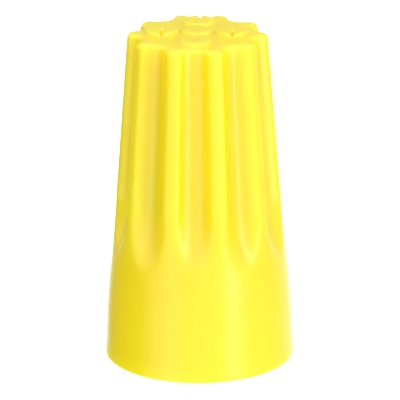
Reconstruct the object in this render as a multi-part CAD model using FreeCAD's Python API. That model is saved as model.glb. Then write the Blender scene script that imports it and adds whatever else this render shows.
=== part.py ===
"""Twist-on wire connector: a moulded plastic cap with ten finger flutes and a
conical square-wire spring pressed into it. Millimetres, +Z up. The connector
stands on its open mouth, and the origin is the centre of the mouth plane."""

import math
import os

import FreeCAD, Part

V = FreeCAD.Vector
UP = V(0, 0, 1)
ORIGIN = V(0, 0, 0)

# ---- cap: outside ----
LENGTH = 26.35  # mouth plane to the flat of the closed end
MOUTH_R = 7.5  # outside cone at the mouth plane, and the lip there
END_R = 5.46  # outside cone at the flat end
SKIRT_TOP = 9.0  # the skirt swells out of the cone below this height
SKIRT_SWELL = 0.1  # out of the straight line from the skirt's top to its lip
LIP_PROUD = 0.09  # the lip flares out of the skirt by this much
LIP_HEIGHT = 1.1
LIP_BAND = 0.2  # height of the lip's straight edge
LIP_ROUND = 0.15
END_ROUND = 0.4  # rounding between the ridges and the flat end

# ---- cap: flutes ----
FLUTES = 10
FLUTE_WIDTH = 0.6925  # width of a flute's circle, as a share of the flutes' pitch
FLUTE_AXIS_SHARE = 1.045  # flute's axis from the cap's, as a share of the cone's radius
FLUTE_TURN = -90.0  # degrees; one flute faces -Y
RUNOUT_START = 13.1  # height at which a flute begins to bend out of the cap
RUNOUT_BEND = 7.5  # radius of that bend
RIDGE_ROUND = 0.55  # rounding along both edges of a flute

# ---- cap: marks on the closed end ----
MARK_HEIGHT = 0.3
BOSS_R = 1.15
PAD_R = 1.25
PAD_PITCH_R = 2.75  # centre of the cap to the centre of a pad
PAD_SLIT = 0.3
SLIT_DEPTH = 0.2
MARK_ROUND = 0.12
MARK_SINK = 0.2  # overlap with the end wall, so that the marks fuse to it

# ---- spring ----
WIRE = 0.85  # side of the square wire, which stands on its corner
COIL_GAP = 0.07  # between a turn's corner and the next turn's
SPRING_MOUTH_R = 4.35  # outer corner at the mouth end
SPRING_TIP_R = 2.3  # outer corner at the closed end

# ---- cap: inside ----
END_WALL = 2.9
SKIRT_WALL = 1.05  # at the mouth
SKIRT_DEPTH = 8.0
SKIRT_DRAFT = 0.5  # the skirt's bore is this much smaller in radius at its top
MOUTH_CHAMFER = 0.25
THROAT_LENGTH = 1.0
SPRING_CATCH = 0.15  # the throat is this much smaller in radius than the spring
LIVE_GAP = 0.4  # room for the free coils to open
GRIP_LENGTH = 4.9  # length of spring that the cap grips
GRIP_CLEAR = 0.02  # from the wire's corners to the wall that grips them
GRIP_LEAD = 1.5  # length over which the pocket narrows to its grip
SPRING_LIFT = 0.15  # spring's mouth end above the throat
TIP_GAP = 0.05  # spring's closed end to the end of the pocket
POCKET_CHAMFER = 0.2  # at the closed end of the pocket

FLUTE_R_SHARE = FLUTE_WIDTH * math.sin(math.pi / FLUTES)
DIAGONAL = WIRE * math.sqrt(2)
TAPER = (MOUTH_R - END_R) / LENGTH
APEX = MOUTH_R / TAPER
BORE_MOUTH_R = MOUTH_R - SKIRT_WALL
BORE_TOP_R = BORE_MOUTH_R - SKIRT_DRAFT
THROAT_R = SPRING_MOUTH_R - SPRING_CATCH
THROAT_Z = SKIRT_DEPTH + (BORE_TOP_R - THROAT_R)
POCKET_Z = THROAT_Z + THROAT_LENGTH
POCKET_END = LENGTH - END_WALL
SPRING_Z = POCKET_Z + SPRING_LIFT + DIAGONAL / 2
SPRING_TOP = POCKET_END - TIP_GAP - DIAGONAL / 2
SPRING_LENGTH = SPRING_TOP - SPRING_Z
SPRING_TAPER = (SPRING_MOUTH_R - SPRING_TIP_R) / SPRING_LENGTH


def cone_radius(z):
    """Outside radius of the cap at height z, before the flutes."""
    return TAPER * (APEX - z)


def spring_radius(z):
    """Radius of the spring's outer corner at height z."""
    return SPRING_MOUTH_R - SPRING_TAPER * (z - SPRING_Z)


def turned(points):
    """A solid turned from a closed outline of (radius, height) points."""
    outline = Part.makePolygon([V(r, 0, z) for r, z in points + points[:1]])
    return Part.Face(outline).revolve(ORIGIN, UP, 360)


def blank():
    """The cap's outside before its flutes: a cone, a swollen skirt and a flared lip."""
    skirt_top = V(cone_radius(SKIRT_TOP), 0, SKIRT_TOP)
    neck = V(MOUTH_R - LIP_PROUD, 0, LIP_HEIGHT)
    swell = (skirt_top + neck) * 0.5 + V(SKIRT_SWELL, 0, 0)
    corners = [
        neck,
        V(MOUTH_R, 0, LIP_BAND),
        V(MOUTH_R, 0, 0),
        ORIGIN,
        UP * LENGTH,
        V(END_R, 0, LENGTH),
        skirt_top,
    ]
    skirt = Part.Arc(skirt_top, swell, neck).toShape()
    outline = Part.Wire(Part.makePolygon(corners).Edges + [skirt])
    body = Part.Face(outline).revolve(ORIGIN, UP, 360)
    mouth_edge = [e for e in body.Edges if e.BoundBox.ZMax < 1e-6 and e.Length > MOUTH_R * 6]
    return body.makeFillet(LIP_ROUND, mouth_edge)


def flute_cutter():
    """One flute on the +X side: a slanted cone that bends out of the cap."""
    reach = LENGTH + 2
    start_r = cone_radius(RUNOUT_START)
    start = V(FLUTE_AXIS_SHARE * start_r, 0, RUNOUT_START)
    down = (start - V(0, 0, APEX)).normalize()
    outward = V(-down.z, 0, down.x)
    straight = Part.makeCone(
        FLUTE_R_SHARE * start_r,
        FLUTE_R_SHARE * cone_radius(reach),
        (reach - RUNOUT_START) / -down.z,
        start,
        -down,
    )
    ring = Part.Face(Part.Wire(Part.Circle(start, down, FLUTE_R_SHARE * start_r).toShape()))
    bend = ring.revolve(start + outward * RUNOUT_BEND, V(0, -1, 0), 60)
    return straight.fuse(bend).removeSplitter()


def around(shape, count, turn=0.0):
    """Copies of a shape, evenly spaced about the cap's axis."""
    copies = []
    for k in range(count):
        copy = shape.copy()
        copy.rotate(ORIGIN, UP, turn + k * 360.0 / count)
        copies.append(copy)
    return copies


def cavity():
    """Everything inside the cap: the skirt's bore, funnel, throat and spring pocket."""
    grip_z = SPRING_TOP - GRIP_LENGTH
    lead_z = grip_z - GRIP_LEAD
    below = 1.0
    return turned(
        [
            (0, -below),
            (BORE_MOUTH_R + MOUTH_CHAMFER, -below),
            (BORE_MOUTH_R + MOUTH_CHAMFER, 0),
            (BORE_MOUTH_R, MOUTH_CHAMFER),
            (BORE_TOP_R, SKIRT_DEPTH),
            (THROAT_R, THROAT_Z),
            (THROAT_R, POCKET_Z),
            (spring_radius(POCKET_Z) + LIVE_GAP, POCKET_Z + LIVE_GAP),
            (spring_radius(lead_z) + LIVE_GAP, lead_z),
            (spring_radius(grip_z) + GRIP_CLEAR, grip_z),
            (spring_radius(SPRING_TOP) + GRIP_CLEAR, SPRING_TOP),
            (spring_radius(POCKET_END) + GRIP_CLEAR, POCKET_END - POCKET_CHAMFER),
            (spring_radius(POCKET_END) + GRIP_CLEAR - POCKET_CHAMFER, POCKET_END),
            (0, POCKET_END),
        ]
    )


def mark(radius):
    """A low round mark that stands on the closed end, at the cap's axis."""
    height = MARK_SINK + MARK_HEIGHT
    disc = Part.makeCylinder(radius, height, V(0, 0, LENGTH - MARK_SINK))
    rim = [e for e in disc.Edges if e.BoundBox.ZMin > LENGTH]
    return disc.makeFillet(MARK_ROUND, rim)


def marks():
    """The boss and the four slit pads of the closed end."""
    pads = []
    for k, pad in enumerate(around(mark(PAD_R), 4)):
        centre = V(PAD_PITCH_R, 0, 0)
        centre = FreeCAD.Rotation(UP, k * 90).multVec(centre)
        pad.translate(centre)
        slit_towards = -1 if k % 2 == 0 else 1
        slit_y = centre.y if slit_towards > 0 else centre.y - 2 * PAD_R
        slit = Part.makeBox(
            PAD_SLIT,
            2 * PAD_R,
            MARK_HEIGHT,
            V(centre.x - PAD_SLIT / 2, slit_y, LENGTH + MARK_HEIGHT - SLIT_DEPTH),
        )
        pads.append(pad.cut(slit))
    return [mark(BOSS_R)] + pads


def outside():
    """The fluted cap with its rounded edges, still solid inside."""
    body = blank().cut(around(flute_cutter(), FLUTES, FLUTE_TURN))
    ridges = [
        e for e in body.Edges if e.BoundBox.ZMin > LIP_HEIGHT + 0.5 and e.BoundBox.ZLength > 0.5
    ]
    body = body.makeFillet(RIDGE_ROUND, ridges)
    end = [e for e in body.Edges if e.BoundBox.ZMin > LENGTH - 0.01]
    return body.makeFillet(END_ROUND, end)


def make_cap():
    return outside().fuse(marks()).cut(cavity())


def make_spring():
    """Square wire on a conical right-hand helix, wound turn beside turn."""
    half_angle = math.atan(SPRING_TAPER)
    along_cone = 1 / math.cos(half_angle)
    pitch = (DIAGONAL + COIL_GAP) * along_cone
    length = SPRING_LENGTH * along_cone
    tip_r = SPRING_TIP_R - DIAGONAL / 2
    helix = Part.Wire(Part.makeHelix(pitch, length, tip_r, math.degrees(half_angle)).Edges)
    half = DIAGONAL / 2
    corners = [(half, 0), (0, half), (-half, 0), (0, -half), (half, 0)]
    section = Part.makePolygon([V(tip_r + r, 0, z) for r, z in corners])
    coil = helix.makePipeShell([section], True, True)
    coil.rotate(ORIGIN, V(1, 0, 0), 180)
    coil.translate(V(0, 0, SPRING_TOP))
    return coil


os.makedirs("parts", exist_ok=True)
for name, shape in [("cap", make_cap()), ("spring", make_spring())]:
    shape.exportStep("parts/" + name + ".step")
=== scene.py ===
"""Twist-on wire connector: a yellow moulded cap with ten finger flutes, standing on
its open mouth, and the conical spring of square wire that is pressed inside it.
Metres, +Z up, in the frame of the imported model."""

import math

import bmesh
import bpy
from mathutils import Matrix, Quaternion, Vector


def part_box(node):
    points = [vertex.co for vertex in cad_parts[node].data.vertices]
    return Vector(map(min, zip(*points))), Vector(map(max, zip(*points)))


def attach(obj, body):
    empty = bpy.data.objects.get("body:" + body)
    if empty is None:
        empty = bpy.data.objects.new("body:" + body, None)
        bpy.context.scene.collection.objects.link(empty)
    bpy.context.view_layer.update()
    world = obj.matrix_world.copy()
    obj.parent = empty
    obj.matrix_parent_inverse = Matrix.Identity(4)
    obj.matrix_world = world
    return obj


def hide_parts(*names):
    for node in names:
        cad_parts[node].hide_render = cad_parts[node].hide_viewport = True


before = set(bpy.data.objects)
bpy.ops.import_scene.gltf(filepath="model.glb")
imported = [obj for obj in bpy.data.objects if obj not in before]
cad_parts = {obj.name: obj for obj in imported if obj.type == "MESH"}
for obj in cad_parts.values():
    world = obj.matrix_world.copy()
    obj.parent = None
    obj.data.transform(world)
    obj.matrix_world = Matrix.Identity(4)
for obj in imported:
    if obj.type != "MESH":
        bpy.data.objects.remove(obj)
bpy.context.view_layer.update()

MM = 0.001

# ---------------------------------------------------------------- camera
# A long lens a little above the connector, so that the closed end shows as a thin
# oval. It looks almost along +Y, and the light at the end is set up round that view.
VIEW_AZIMUTH = math.radians(3.0)
VIEW_ELEVATION = math.radians(18.95)
VIEW_DISTANCE = 292 * MM
VIEW_AIM = Vector((0.11, 0, 12.62)) * MM
VIEW_ROLL = math.radians(-0.35)
LENS = 333.0
SENSOR = 36.0

away = Vector(
    (
        math.sin(VIEW_AZIMUTH) * math.cos(VIEW_ELEVATION),
        -math.cos(VIEW_AZIMUTH) * math.cos(VIEW_ELEVATION),
        math.sin(VIEW_ELEVATION),
    )
)
camera = bpy.data.objects.new("camera", bpy.data.cameras.new("camera"))
camera.data.lens = LENS
camera.data.sensor_width = SENSOR
camera.data.clip_start = VIEW_DISTANCE * 0.1
camera.data.clip_end = VIEW_DISTANCE * 20
camera.location = VIEW_AIM + away * VIEW_DISTANCE
level = (-away).to_track_quat("-Z", "Y")
camera.rotation_euler = (level @ Quaternion((0, 0, 1), VIEW_ROLL)).to_euler()
bpy.context.collection.objects.link(camera)
bpy.context.scene.camera = camera


# ---------------------------------------------------------------- cap
# The shell is one shot of yellow polypropylene. It is moulded in a fluted steel cavity
# round a stepped core pin, so every edge is rounded and nothing is assembled.


class Value:
    """A socket of a node tree. Arithmetic on it adds Math nodes to the tree."""

    def __init__(self, graph, socket):
        self.graph = graph
        self.socket = socket

    def maths(self, operation, *operands):
        return self.graph.node("ShaderNodeMath", {"operation": operation}, *operands)

    def __add__(self, other):
        return self.maths("ADD", self, other)

    __radd__ = __add__

    def __sub__(self, other):
        return self.maths("SUBTRACT", self, other)

    def __rsub__(self, other):
        return self.maths("SUBTRACT", other, self)

    def __mul__(self, other):
        return self.maths("MULTIPLY", self, other)

    __rmul__ = __mul__

    def __truediv__(self, other):
        return self.maths("DIVIDE", self, other)

    def __rtruediv__(self, other):
        return self.maths("DIVIDE", other, self)

    def __neg__(self):
        return self.maths("MULTIPLY", self, -1)

    def __abs__(self):
        return self.maths("ABSOLUTE", self)

    def __gt__(self, other):
        return self.maths("GREATER_THAN", self, other)

    def root(self):
        return self.maths("SQRT", self)

    def sine(self):
        return self.maths("SINE", self)

    def cosine(self):
        return self.maths("COSINE", self)

    def least(self, other):
        return self.maths("MINIMUM", self, other)

    def most(self, other):
        return self.maths("MAXIMUM", self, other)

    def ramp(self, low, high, low_out=0.0, high_out=1.0):
        """Smooth step from low_out at low to high_out at high."""
        settings = {"interpolation_type": "SMOOTHSTEP"}
        return self.graph.node(
            "ShaderNodeMapRange", settings, self, low, high, low_out, high_out
        )


class Graph:
    """A node tree under construction."""

    def __init__(self, tree):
        self.tree = tree

    def node(self, kind, settings=None, *values, out=0, **named):
        """Adds a node. Its settings go first, then its sockets by place or by name. It
        gives the output named by out, or the node itself where out is None."""
        made = self.tree.nodes.new(kind)
        for name, value in (settings or {}).items():
            setattr(made, name, value)
        sockets = dict(enumerate(values))
        sockets.update({name.replace("_", " "): value for name, value in named.items()})
        for key, value in sockets.items():
            if isinstance(value, Value):
                self.tree.links.new(value.socket, made.inputs[key])
            elif value is not None:
                made.inputs[key].default_value = value
        if out is None:
            return made
        return Value(self, made.outputs[out])

    def blend(self, share, low, high):
        """A colour between two colours."""
        places = [share, None, None, None, None, None, low, high]
        return self.node("ShaderNodeMix", {"data_type": "RGBA"}, *places, out=2)

    def noise(self, place, scale, detail, roughness=0.5):
        return self.node(
            "ShaderNodeTexNoise",
            Vector=place,
            Scale=scale,
            Detail=detail,
            Roughness=roughness,
        )


END_MARK = 0.3 * MM  # how far the marks stand out of the closed end
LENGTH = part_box("cap")[1].z - END_MARK
MOUTH_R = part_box("cap")[1].x
END_R = 5.46 * MM
TAPER = (MOUTH_R - END_R) / LENGTH
SKIRT_TOP = 9.0 * MM  # the skirt swells out of the cone below this height
SKIRT_SWELL = 0.1 * MM
LIP_PROUD = 0.09 * MM  # the lip flares out of the skirt by this much
LIP_HEIGHT = 1.1 * MM
LIP_BAND = 0.2 * MM  # height of the lip's straight edge
LIP_ROUND = 0.15 * MM
LIP_BLEND = 0.4 * MM  # rounding where the skirt turns out into its lip
END_ROUND = 0.4 * MM  # rounding between the ridges and the flat end

FLUTES = 10
FLUTE_WIDTH = 0.6925  # width of a flute's circle, as a share of the flutes' pitch
FLUTE_R_SHARE = FLUTE_WIDTH * math.sin(math.pi / FLUTES)
FLUTE_AXIS_SHARE = 1.045  # flute's axis from the cap's, as a share of the cone's radius
RIDGE_ROUND = 0.55 * MM
RUNOUT_START = 13.1 * MM  # a flute begins to bend out of the cap at this height
RUNOUT_BEND = 7.5 * MM  # radius of that bend
RUNOUT_END = 7.8 * MM  # below every flute's foot
FOOT_PASSES = 30  # smoothing passes that blend the flutes' feet into the skirt
FOOT_LOW_FADE = 0.5 * MM  # heights over which that blend comes in and goes out
FOOT_HIGH_FADE = 2.0 * MM
CREST_DEPTH = 0.3 * MM  # ridges rub on their crests where the flutes are this deep

# Inside: the skirt's bore, a funnel, the throat and the spring's pocket. The pocket
# stays clear of the free coils, then narrows until it grips the last ones.
SKIRT_WALL = 1.05 * MM  # at the mouth
SKIRT_DRAFT = 0.5 * MM  # the bore is this much smaller in radius at its top
SKIRT_DEPTH = 8.0 * MM
MOUTH_CHAMFER = 0.25 * MM
BORE_MOUTH_R = MOUTH_R - SKIRT_WALL
BORE_TOP_R = BORE_MOUTH_R - SKIRT_DRAFT
THROAT_R = 4.2 * MM
THROAT_LENGTH = 1.0 * MM
END_WALL = 2.9 * MM
THROAT_Z = SKIRT_DEPTH + BORE_TOP_R - THROAT_R
POCKET_Z = THROAT_Z + THROAT_LENGTH
POCKET_END = LENGTH - END_WALL
POCKET_CHAMFER = 0.2 * MM
LIVE_GAP = 0.4 * MM  # room for the free coils to open
GRIP_LENGTH = 4.9 * MM
GRIP_LEAD = 1.5 * MM  # height over which the pocket narrows to its grip
GRIP_CLEAR = 0.02 * MM  # from the wire's corners to the wall that grips them
INNER_ROUND = 0.12 * MM

# The spring's cone, which the pocket is cut for.
WIRE = 0.85 * MM  # side of the square wire, which stands on its corner
DIAGONAL = WIRE * math.sqrt(2)
SPRING_MOUTH_R = 4.35 * MM  # outer corner at the mouth end
SPRING_TIP_R = 2.3 * MM  # outer corner at the closed end
SPRING_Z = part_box("spring")[0].z + DIAGONAL / 2
SPRING_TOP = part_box("spring")[1].z - DIAGONAL / 2
SPRING_LENGTH = SPRING_TOP - SPRING_Z


def arc(centre_r, centre_z, radius, start, end, steps):
    """Points of (radius, height) along an arc, from start to end degrees."""
    points = []
    for k in range(steps + 1):
        angle = math.radians(start + (end - start) * k / steps)
        across = centre_r + radius * math.cos(angle)
        height = centre_z + radius * math.sin(angle)
        points.append((across, height))
    return points


def rounded(corners, radius, steps):
    """An open outline of (radius, height) with every corner but its two ends rounded.
    A rounding takes less than half of the shorter side."""
    most_of_side = 0.45
    points = [corners[0]]
    for before, corner, after in zip(corners, corners[1:], corners[2:]):
        corner = Vector(corner)
        back = Vector(before) - corner
        on = Vector(after) - corner
        half = back.angle(on) / 2
        reach = min(radius / math.tan(half), most_of_side * min(back.length, on.length))
        start = corner + back.normalized() * reach
        end = corner + on.normalized() * reach
        for k in range(steps + 1):
            share = k / steps
            near = start.lerp(corner, share)
            far = corner.lerp(end, share)
            points.append(tuple(near.lerp(far, share)))
    return points + [corners[-1]]


def lathe(name, rows, columns):
    """A closed mesh turned from rows of (radius, height, share, inset). The first row and
    the last are points on the axis. A row's share and inset become point attributes."""
    mesh = bmesh.new()
    rings = []
    for radius, height, *_ in rows[1:-1]:
        ring = []
        for k in range(columns):
            angle = 2 * math.pi * k / columns
            place = (radius * math.sin(angle), -radius * math.cos(angle), height)
            ring.append(mesh.verts.new(place))
        rings.append(ring)
    first = mesh.verts.new((0, 0, rows[0][1]))
    last = mesh.verts.new((0, 0, rows[-1][1]))
    for k in range(columns):
        on = (k + 1) % columns
        mesh.faces.new((first, rings[0][k], rings[0][on]))
        mesh.faces.new((last, rings[-1][on], rings[-1][k]))
        for ring, below in zip(rings, rings[1:]):
            mesh.faces.new((ring[k], below[k], below[on], ring[on]))
    bmesh.ops.recalc_face_normals(mesh, faces=mesh.faces)
    for face in mesh.faces:
        face.smooth = True
    data = bpy.data.meshes.new(name)
    mesh.to_mesh(data)
    mesh.free()
    for place, attribute in ((2, "share"), (3, "inset")):
        values = [row[place] for row in rows[1:-1] for _ in range(columns)]
        values += [rows[0][place], rows[-1][place]]
        data.attributes.new(attribute, "FLOAT", "POINT").data.foreach_set("value", values)
    made = bpy.data.objects.new(name, data)
    bpy.context.collection.objects.link(made)
    return made


def cone_r(height):
    """Outside radius of the cap's cone, before its flutes."""
    return MOUTH_R - TAPER * height


def spring_r(height):
    """Radius of the spring's outer corner."""
    share = (height - SPRING_Z) / SPRING_LENGTH
    return SPRING_MOUTH_R - (SPRING_MOUTH_R - SPRING_TIP_R) * share


def skirt_r(height):
    """Outside radius of the skirt, which swells a little between its top and its lip."""
    share = (SKIRT_TOP - height) / (SKIRT_TOP - LIP_HEIGHT)
    top_r = cone_r(SKIRT_TOP)
    straight = top_r + (MOUTH_R - LIP_PROUD - top_r) * share
    return straight + SKIRT_SWELL * 4 * share * (1 - share)


# Rows run from the middle of the closed end, over its edge, down the outside, round the
# mouth and up the inside. A row with a share above 0 follows the flutes' outline: it
# lies at that share of the way out to the outline, after the outline has moved inwards
# by the row's inset. A negative inset moves it outwards, which makes the skirt's swell.
COLUMNS = 440
END_RINGS = 72
EDGE_ROWS = 7
FLUTE_ROWS = 12
RUNOUT_ROWS = 44
SKIRT_ROWS = 10
SKIRT_FOOT = LIP_HEIGHT * 1.5
LIP_NECK = LIP_HEIGHT * 1.4
LIP_STEPS = 5
RIM_STEPS = 6
INNER_STEPS = 3

rows = []
for k in range(END_RINGS + 1):
    share = k / END_RINGS
    rows.append((share * (END_R - END_ROUND), LENGTH, share, END_ROUND))
for k in range(1, EDGE_ROWS + 1):
    turn = math.radians(90 * k / EDGE_ROWS)
    height = LENGTH - END_ROUND * (1 - math.cos(turn))
    rows.append((END_R, height, 1.0, END_ROUND * (1 - math.sin(turn))))
top_z = LENGTH - END_ROUND
for k in range(1, FLUTE_ROWS + 1):
    height = top_z + (RUNOUT_START - top_z) * k / FLUTE_ROWS
    rows.append((cone_r(height), height, 1.0, 0.0))
for k in range(1, RUNOUT_ROWS + 1):
    height = RUNOUT_START + (RUNOUT_END - RUNOUT_START) * k / RUNOUT_ROWS
    swell = skirt_r(height) - cone_r(height) if height < SKIRT_TOP else 0.0
    rows.append((cone_r(height), height, 1.0, -swell))

skin = []
for k in range(SKIRT_ROWS + 1):
    height = RUNOUT_END + (SKIRT_FOOT - RUNOUT_END) * k / SKIRT_ROWS
    skin.append((skirt_r(height), height))
skin += rounded(
    [
        (skirt_r(LIP_NECK), LIP_NECK),
        (skirt_r(LIP_HEIGHT), LIP_HEIGHT),
        (MOUTH_R, LIP_BAND),
        (MOUTH_R, LIP_ROUND),
    ],
    LIP_BLEND,
    LIP_STEPS,
)
skin += arc(MOUTH_R - LIP_ROUND, LIP_ROUND, LIP_ROUND, 0, -90, RIM_STEPS)[1:]
grip_z = SPRING_TOP - GRIP_LENGTH
lead_z = grip_z - GRIP_LEAD
pocket_end_r = spring_r(POCKET_END) + GRIP_CLEAR
skin += rounded(
    [
        (BORE_MOUTH_R + 2 * MOUTH_CHAMFER, 0),
        (BORE_MOUTH_R + MOUTH_CHAMFER, 0),
        (BORE_MOUTH_R, MOUTH_CHAMFER),
        (BORE_TOP_R, SKIRT_DEPTH),
        (THROAT_R, THROAT_Z),
        (THROAT_R, POCKET_Z),
        (spring_r(POCKET_Z) + LIVE_GAP, POCKET_Z + LIVE_GAP),
        (spring_r(lead_z) + LIVE_GAP, lead_z),
        (spring_r(grip_z) + GRIP_CLEAR, grip_z),
        (spring_r(SPRING_TOP) + GRIP_CLEAR, SPRING_TOP),
        (pocket_end_r, POCKET_END - POCKET_CHAMFER),
        (pocket_end_r - POCKET_CHAMFER, POCKET_END),
        (0, POCKET_END),
    ],
    INNER_ROUND,
    INNER_STEPS,
)
rows += [(radius, height, 0.0, 0.0) for radius, height in skin[1:]]
cap_blank = lathe("cap_blank", rows, COLUMNS)


def group_input(tree, name, kind):
    return tree.interface.new_socket(name, in_out="INPUT", socket_type="NodeSocket" + kind)


def apply_tree(blank, name, tree, inputs):
    """Runs a node tree on an object and gives its result as a new plain object."""
    modifier = blank.modifiers.new("shape", "NODES")
    modifier.node_group = tree
    for socket in tree.interface.items_tree:
        if socket.name in inputs:
            modifier[socket.identifier] = inputs[socket.name]
    depsgraph = bpy.context.evaluated_depsgraph_get()
    data = bpy.data.meshes.new_from_object(blank.evaluated_get(depsgraph))
    data.name = name
    made = bpy.data.objects.new(name, data)
    bpy.context.collection.objects.link(made)
    blank.modifiers.clear()
    bpy.data.objects.remove(blank)
    return made


# The closed end carries a small round boss and four low pads. Each pad has a short slit
# on the side given by the last of its three numbers; the first two say where it stands.
BOSS_R = 1.15 * MM
PAD_R = 1.25 * MM
PAD_PITCH_R = 2.75 * MM
PADS = ((1, 0, -1), (0, 1, 1), (-1, 0, -1), (0, -1, 1))
PAD_SLIT = 0.3 * MM
SLIT_FLANK = 0.75  # half the width of a slit's V at its top, as a share of the slit
SLIT_DEPTH = 0.9  # as a share of the marks' height
MARK_EDGE = 0.24 * MM  # width of the rounded flank of a mark


def marks(given, x, y):
    """How much of their full height the marks have at a point of the closed end."""
    edge = given("Mark edge")

    def disc(off_x, off_y, radius):
        reach = (off_x * off_x + off_y * off_y).root()
        return reach.ramp(radius - edge / 2, radius + edge / 2, 1.0, 0.0)

    height = disc(x, y, given("Boss radius"))
    for pad_x, pad_y, slit_side in PADS:
        off_x = x - given("Pad pitch radius") * pad_x
        off_y = y - given("Pad pitch radius") * pad_y
        beside = abs(off_x).ramp(0.0, given("Slit width") * SLIT_FLANK, 1.0, 0.0)
        beyond = (off_y * slit_side).ramp(edge / -3, edge / 3)
        slit = given("Slit depth") * beside * beyond
        height = height.most(disc(off_x, off_y, given("Pad radius")) * (1 - slit))
    return height


def flute_tree(material):
    """The rule of the cap's outline: round flutes cut into a cone, with rounded ridges,
    each flute bending out of the cone at its foot; and the marks on the closed end."""
    hair = 1e-6  # a length too small to see, for divisions and for tests of height
    tree = bpy.data.node_groups.new("flutes", "GeometryNodeTree")
    group_input(tree, "Geometry", "Geometry")
    for name in (
        "Mouth radius",
        "Taper",
        "Flutes",
        "Radius share",
        "Axis share",
        "Ridge rounding",
        "Run-out start",
        "Run-out bend",
        "Foot low",
        "Foot low fade",
        "Foot high",
        "Foot high fade",
        "Crest depth",
        "Closed end",
        "Mark height",
        "Mark edge",
        "Boss radius",
        "Pad radius",
        "Pad pitch radius",
        "Slit width",
        "Slit depth",
    ):
        group_input(tree, name, "Float")
    tree.interface.new_socket("Geometry", in_out="OUTPUT", socket_type="NodeSocketGeometry")
    graph = Graph(tree)
    start = graph.node("NodeGroupInput", out=None)

    def given(name):
        return Value(graph, start.outputs[name])

    def stored(name):
        return graph.node("GeometryNodeInputNamedAttribute", {"data_type": "FLOAT"}, name)

    place = graph.node("GeometryNodeInputPosition")
    parts = graph.node("ShaderNodeSeparateXYZ", None, place, out=None)
    x, y, z = (Value(graph, parts.outputs[k]) for k in range(3))
    share = stored("share")
    inset = stored("inset")

    # polar angle from the middle of the nearest flute
    angle = x.maths("ARCTAN2", x, -y)
    pitch = 2 * math.pi / given("Flutes")
    theta = abs(angle.maths("WRAP", angle, pitch / 2, pitch / -2))

    # the cone, the flute's circle, and the bend at the flute's foot, at this height
    start_r = given("Mouth radius") - given("Taper") * given("Run-out start")
    start_c = start_r * given("Axis share")
    start_f = start_r * given("Radius share")
    lean = given("Taper") * given("Axis share")
    bend = given("Run-out bend")
    cone = given("Mouth radius") - given("Taper") * z
    drop = given("Run-out start") + bend * lean - z
    reach = bend + start_f
    foot_c = start_c + bend - (reach * reach - drop * drop).most(0).root() + start_f
    above = z > given("Run-out start")
    circle = above * cone * given("Radius share") + (1 - above) * start_f
    axis = above * cone * given("Axis share") + (1 - above) * foot_c

    # the same outline, moved inwards by the inset, or outwards where it is negative
    outer = cone - inset
    flute = circle + inset
    ridge = (given("Ridge rounding") - inset).most(hair)

    # the ridge's rounding touches the cone at angle gamma and the flute at angle joint
    ridge_r = outer - ridge
    gap = flute + ridge
    cos_gamma = ((ridge_r * ridge_r + axis * axis - gap * gap) / (2 * ridge_r * axis)).least(1)
    gamma = cos_gamma.maths("ARCCOSINE", cos_gamma)
    ridge_x = ridge_r * cos_gamma
    ridge_y = ridge_r * gamma.sine()
    joint_x = ridge_x + (axis - ridge_x) * ridge / gap
    joint_y = ridge_y - ridge_y * ridge / gap
    joint = joint_y.maths("ARCTAN2", joint_y, joint_x)

    side = axis * theta.sine()
    in_flute = axis * theta.cosine() - (flute * flute - side * side).most(0).root()
    off = gamma - theta
    across = ridge_r * off.sine()
    on_ridge = ridge_r * off.cosine() + (ridge * ridge - across * across).most(0).root()
    past_joint = theta > joint
    past_gamma = theta > gamma
    outline = (1 - past_joint) * in_flute.least(outer) + past_joint * (
        (1 - past_gamma) * on_ridge + past_gamma * outer
    )

    # points of the closed end lie at their share of the outline
    ruled = share > 0
    radius = (x * x + y * y).root()
    target = ruled * outline * share + (1 - ruled) * radius
    grow = target / radius.most(hair)
    on_end = z > given("Closed end") - hair
    flat_x = x * grow
    flat_y = y * grow
    lift = on_end * marks(given, flat_x, flat_y) * given("Mark height")
    moved = graph.node("ShaderNodeCombineXYZ", None, flat_x, flat_y, z + lift)
    depth = cone - axis + circle
    crest = depth.ramp(0.0, given("Crest depth")) * theta.ramp(joint, gamma) * ruled
    rubbed = graph.node(
        "GeometryNodeStoreNamedAttribute",
        {"data_type": "FLOAT", "domain": "POINT"},
        Geometry=given("Geometry"),
        Name="crest",
        Value=crest,
    )
    shaped = graph.node("GeometryNodeSetPosition", None, Geometry=rubbed, Position=moved)

    # the flutes' feet are blended into the skirt
    low = given("Foot low")
    high = given("Foot high")
    foot = z.ramp(low, low + given("Foot low fade"))
    foot = foot * z.ramp(high - given("Foot high fade"), high, 1.0, 0.0)
    softer = graph.node(
        "GeometryNodeBlurAttribute", {"data_type": "FLOAT_VECTOR"}, place, FOOT_PASSES, foot
    )
    blended = graph.node("GeometryNodeSetPosition", None, Geometry=shaped, Position=softer)
    real = graph.node("GeometryNodeRealizeInstances", None, blended)
    painted = graph.node("GeometryNodeSetMaterial", None, Geometry=real, Material=material)
    end = graph.node("NodeGroupOutput", out=None)
    tree.links.new(painted.socket, end.inputs[0])
    return tree


DEEP_YELLOW = (0.955, 0.730, 0.004, 1)
BRIGHT_YELLOW = (0.970, 0.765, 0.007, 1)
SCUFFED_YELLOW = (0.960, 0.860, 0.140, 1)
CLOUD_CELLS = 140  # cells of each noise in a metre
FLOW_CELLS = 900
SCUFF_CELLS = 2600
GRAIN_CELLS = 9000
FLOW_WIDTH = 0.12  # of a flow mark, as a share of its length
GLOSS_ROUGHNESS = 0.23  # of clean plastic, before clouds, flow marks and wear
MOULD_RELIEF = 0.02 * MM
LIGHT_DEPTH = 2.0 * MM  # how far light passes into the plastic


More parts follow.
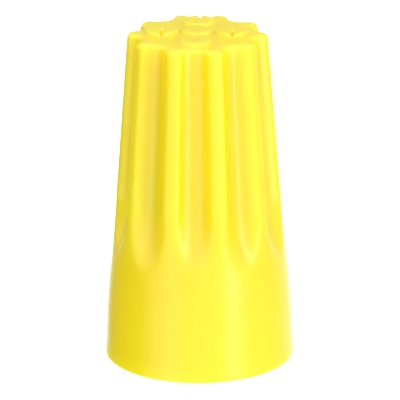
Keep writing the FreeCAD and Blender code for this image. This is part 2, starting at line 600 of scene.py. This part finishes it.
def plastic():
    """Satin yellow polypropylene: cloudy where the melt cooled, drawn along the flow from
    the closed end to the mouth, and rubbed duller on the crests of the ridges."""
    material = bpy.data.materials.new("yellow_polypropylene")
    material.use_nodes = True
    tree = material.node_tree
    tree.nodes.clear()
    graph = Graph(tree)
    place = graph.node("ShaderNodeTexCoord", out="Object")
    crest = graph.node("ShaderNodeAttribute", {"attribute_name": "crest"}, out="Fac")
    drawn = graph.node("ShaderNodeMapping", None, Vector=place, Scale=(1, 1, FLOW_WIDTH))
    cloud = graph.noise(place, CLOUD_CELLS, 3)
    flow = graph.noise(drawn, FLOW_CELLS, 3)
    grain = graph.noise(place, GRAIN_CELLS, 2)
    scuffs = graph.noise(place, SCUFF_CELLS, 4, 0.7).ramp(0.56, 0.68) * crest
    tone = cloud.ramp(0.35, 0.65) * 0.7 + flow.ramp(0.3, 0.7) * 0.3
    colour = graph.blend(tone, DEEP_YELLOW, BRIGHT_YELLOW)
    colour = graph.blend(scuffs * 0.25, colour, SCUFFED_YELLOW)
    rough = GLOSS_ROUGHNESS + 0.08 * cloud + 0.07 * flow + 0.04 * crest + 0.12 * scuffs
    relief = flow * 0.5 + grain * 0.25 + cloud * 0.6 - scuffs * 0.35
    normal = graph.node(
        "ShaderNodeBump", None, Strength=0.25, Distance=MOULD_RELIEF, Height=relief, out="Normal"
    )
    shader = graph.node(
        "ShaderNodeBsdfPrincipled",
        None,
        Base_Color=colour,
        Roughness=rough,
        Normal=normal,
        IOR=1.49,
        Specular_IOR_Level=1.0,
        Subsurface_Weight=1.0,
        Subsurface_Radius=(1.0, 0.9, 0.15),
        Subsurface_Scale=LIGHT_DEPTH,
    )
    graph.node("ShaderNodeOutputMaterial", None, Surface=shader, out=None)
    return material


cap = apply_tree(
    cap_blank,
    "moulded_cap",
    flute_tree(plastic()),
    {
        "Mouth radius": MOUTH_R,
        "Taper": TAPER,
        "Flutes": float(FLUTES),
        "Radius share": FLUTE_R_SHARE,
        "Axis share": FLUTE_AXIS_SHARE,
        "Ridge rounding": RIDGE_ROUND,
        "Run-out start": RUNOUT_START,
        "Run-out bend": RUNOUT_BEND,
        "Foot low": RUNOUT_END,
        "Foot low fade": FOOT_LOW_FADE,
        "Foot high": RUNOUT_START,
        "Foot high fade": FOOT_HIGH_FADE,
        "Crest depth": CREST_DEPTH,
        "Closed end": LENGTH,
        "Mark height": END_MARK,
        "Mark edge": MARK_EDGE,
        "Boss radius": BOSS_R,
        "Pad radius": PAD_R,
        "Pad pitch radius": PAD_PITCH_R,
        "Slit width": PAD_SLIT,
        "Slit depth": SLIT_DEPTH,
    },
)
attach(cap, "root")
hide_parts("cap")


# ---------------------------------------------------------------- spring
# Square steel wire, zinc plated, wound on its corner into a cone and pressed into the
# cap. The plastic grips its narrow coils, and the wide ones are free to open.
WIRE_ROUND = 0.07 * MM
CORNER_POINTS = 3
COIL_GAP = 0.07 * MM  # between a turn's corner and the next turn's
SPRING_TURNS = SPRING_LENGTH / (DIAGONAL + COIL_GAP)
COIL_POINTS = 96  # in each turn


def spring_tree(material):
    """Square wire swept along a conical spiral."""
    tree = bpy.data.node_groups.new("square_wire_coil", "GeometryNodeTree")
    for name in (
        "Turns",
        "Length",
        "Mouth radius",
        "Tip radius",
        "Wire",
        "Corner rounding",
        "Lowest coil",
        "Turn",
    ):
        group_input(tree, name, "Float")
    tree.interface.new_socket("Geometry", in_out="OUTPUT", socket_type="NodeSocketGeometry")
    graph = Graph(tree)
    start = graph.node("NodeGroupInput", out=None)

    def given(name):
        return Value(graph, start.outputs[name])

    half = given("Wire") * math.sqrt(0.5)
    spiral = graph.node(
        "GeometryNodeCurveSpiral",
        None,
        Resolution=COIL_POINTS,
        Rotations=given("Turns"),
        Start_Radius=given("Mouth radius") - half,
        End_Radius=given("Tip radius") - half,
        Height=given("Length"),
        Reverse=True,
    )
    upright = graph.node("GeometryNodeSetCurveNormal", {"mode": "Z_UP"}, spiral)
    square = graph.node(
        "GeometryNodeCurvePrimitiveQuadrilateral",
        {"mode": "RECTANGLE"},
        Width=given("Wire"),
        Height=given("Wire"),
    )
    soft = graph.node(
        "GeometryNodeFilletCurve",
        {"mode": "POLY"},
        Curve=square,
        Count=CORNER_POINTS,
        Radius=given("Corner rounding"),
    )
    on_corner = graph.node(
        "GeometryNodeTransform", None, Geometry=soft, Rotation=(0, 0, math.radians(45))
    )
    along = graph.node("GeometryNodeSplineParameter", out="Length")
    marked = graph.node(
        "GeometryNodeStoreNamedAttribute",
        {"data_type": "FLOAT", "domain": "POINT"},
        Geometry=upright,
        Name="along",
        Value=along,
    )
    around = graph.node("GeometryNodeSplineParameter", out="Factor")
    ringed = graph.node(
        "GeometryNodeStoreNamedAttribute",
        {"data_type": "FLOAT", "domain": "POINT"},
        Geometry=on_corner,
        Name="around",
        Value=around,
    )
    wire = graph.node(
        "GeometryNodeCurveToMesh",
        None,
        Curve=marked,
        Profile_Curve=ringed,
        Fill_Caps=True,
    )
    rise = graph.node("ShaderNodeCombineXYZ", None, 0.0, 0.0, given("Lowest coil"))
    swing = graph.node("ShaderNodeCombineXYZ", None, 0.0, 0.0, given("Turn"))
    placed = graph.node(
        "GeometryNodeTransform", None, Geometry=wire, Translation=rise, Rotation=swing
    )
    real = graph.node("GeometryNodeRealizeInstances", None, placed)
    painted = graph.node("GeometryNodeSetMaterial", None, Geometry=real, Material=material)
    end = graph.node("NodeGroupOutput", out=None)
    tree.links.new(painted.socket, end.inputs[0])
    return tree


ZINC_GREY = (0.42, 0.42, 0.41, 1)
ZINC_BRIGHT = (0.66, 0.67, 0.69, 1)
STREAKS_ALONG = 60  # cells of the streaks' noise in a metre of wire
STREAKS_AROUND = 70  # and once round it
BLOOM_CELLS = 1500  # of the plating's mottling, in a metre
DIE_RELIEF = 0.02 * MM


def zinc():
    """Drawn steel wire with a thin grey zinc plating."""
    material = bpy.data.materials.new("zinc_plated_wire")
    material.use_nodes = True
    tree = material.node_tree
    tree.nodes.clear()
    graph = Graph(tree)
    place = graph.node("ShaderNodeTexCoord", out="Object")
    along = graph.node("ShaderNodeAttribute", {"attribute_name": "along"}, out="Fac")
    around = graph.node("ShaderNodeAttribute", {"attribute_name": "around"}, out="Fac")
    wire_place = graph.node(
        "ShaderNodeCombineXYZ", None, along * STREAKS_ALONG, around * STREAKS_AROUND, 0.0
    )
    streaks = graph.noise(wire_place, 1.0, 3)
    bloom = graph.noise(place, BLOOM_CELLS, 3)
    tone = bloom.ramp(0.3, 0.7) * 0.6 + streaks * 0.4
    colour = graph.blend(tone, ZINC_GREY, ZINC_BRIGHT)
    normal = graph.node(
        "ShaderNodeBump", None, Strength=0.35, Distance=DIE_RELIEF, Height=streaks, out="Normal"
    )
    shader = graph.node(
        "ShaderNodeBsdfPrincipled",
        None,
        Base_Color=colour,
        Metallic=1.0,
        Roughness=0.26 + 0.2 * bloom,
        Normal=normal,
    )
    graph.node("ShaderNodeOutputMaterial", None, Surface=shader, out=None)
    return material


# The spiral starts at the spring's mouth end, on the +X side. Turning it back by all its
# turns brings its closed end to that side instead.
coil_blank = bpy.data.objects.new("coil_blank", bpy.data.meshes.new("coil_blank"))
bpy.context.collection.objects.link(coil_blank)
coil = apply_tree(
    coil_blank,
    "coil_spring",
    spring_tree(zinc()),
    {
        "Turns": SPRING_TURNS,
        "Length": SPRING_LENGTH,
        "Mouth radius": SPRING_MOUTH_R,
        "Tip radius": SPRING_TIP_R,
        "Wire": WIRE,
        "Corner rounding": WIRE_ROUND,
        "Lowest coil": SPRING_Z,
        "Turn": -2 * math.pi * SPRING_TURNS,
    },
)
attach(coil, "root")
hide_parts("spring")


# ---------------------------------------------------------------- stage
# A white sheet that runs on behind the connector. It is lit from below like a light
# table, so that no shadow shows on it. The studio alone lights the connector.
FLOOR_SIZE = 3.0

sheet = bmesh.new()
bmesh.ops.create_grid(sheet, x_segments=1, y_segments=1, size=FLOOR_SIZE / 2)
floor_data = bpy.data.meshes.new("floor")
sheet.to_mesh(floor_data)
sheet.free()
white_sheet = bpy.data.materials.new("white_sheet")
white_sheet.use_nodes = True
sheet_shader = white_sheet.node_tree.nodes["Principled BSDF"]
sheet_shader.inputs["Base Color"].default_value = (0.9, 0.9, 0.9, 1)
sheet_shader.inputs["Roughness"].default_value = 0.7
sheet_shader.inputs["Emission Color"].default_value = (1, 1, 1, 1)
sheet_shader.inputs["Emission Strength"].default_value = 0.6
floor_data.materials.append(white_sheet)
floor = bpy.data.objects.new("floor", floor_data)
bpy.context.collection.objects.link(floor)
floor.visible_glossy = False
floor.visible_diffuse = False


# ---------------------------------------------------------------- light
# The light of a studio: a white tent all round, a bright strip to the right of the camera
# and a weaker one to its left, more light from above, and a bounce from low at the back.
# Black flags at the sides and the back darken the connector's edges.
world = bpy.data.worlds.new("studio")
world.use_nodes = True
studio = Graph(world.node_tree)
towards = studio.node("ShaderNodeTexCoord", out="Generated")
axes = studio.node("ShaderNodeSeparateXYZ", None, towards, out=None)
east, north, up = (Value(studio, axes.outputs[k]) for k in range(3))
azimuth = east.maths("ARCTAN2", east, -north) * math.degrees(1)
elevation = up.maths("ARCSINE", up) * math.degrees(1)


def panel(angle, low, high, soft):
    """1 between two angles in degrees, with edges that are soft by some degrees."""
    return angle.ramp(low - soft, low + soft) * angle.ramp(high - soft, high + soft, 1.0, 0.0)


# Azimuth is 0 in front, towards -Y, and grows to the right.
TENT = 0.83
FRONT_PANELS = (  # brightness, then the two azimuths and the softness of the edges
    (0.14, -50, 60, 14),
    (2.5, 37, 55, 6),
    (0.6, -42, -22, 8),
)
TOP_LIGHT = 0.5
BACK_BOUNCE = 0.7
LEFT_FLAG = 0.9  # share of the light that a flag takes away
RIGHT_FLAG = 0.4
BACK_FLAG = 0.5

upright = panel(elevation, -75, 45, 15)
side_band = panel(elevation, -38, 2, 8)
behind = 1 - panel(azimuth, -120, 120, 20)
light = TENT + TOP_LIGHT * elevation.ramp(25, 60)
for brightness, low, high, soft in FRONT_PANELS:
    light = light + brightness * panel(azimuth, low, high, soft) * upright
light = light + BACK_BOUNCE * behind * panel(elevation, -70, -4, 8)
light = light * (1 - LEFT_FLAG * panel(azimuth, -150, -64, 10) * side_band)
light = light * (1 - RIGHT_FLAG * panel(azimuth, 95, 150, 20) * side_band)
light = light * (1 - BACK_FLAG * behind * panel(elevation, 2, 36, 8))

# The camera sees the tent plain white, whatever light it gives there.
seen = studio.node("ShaderNodeLightPath", out="Is Camera Ray")
backdrop = world.node_tree.nodes["Background"]
backdrop.inputs["Color"].default_value = (1, 1, 1, 1)
world.node_tree.links.new((light * (1 - seen) + seen).socket, backdrop.inputs["Strength"])
bpy.context.scene.world = world
bpy.context.scene.view_settings.view_transform = "Standard"
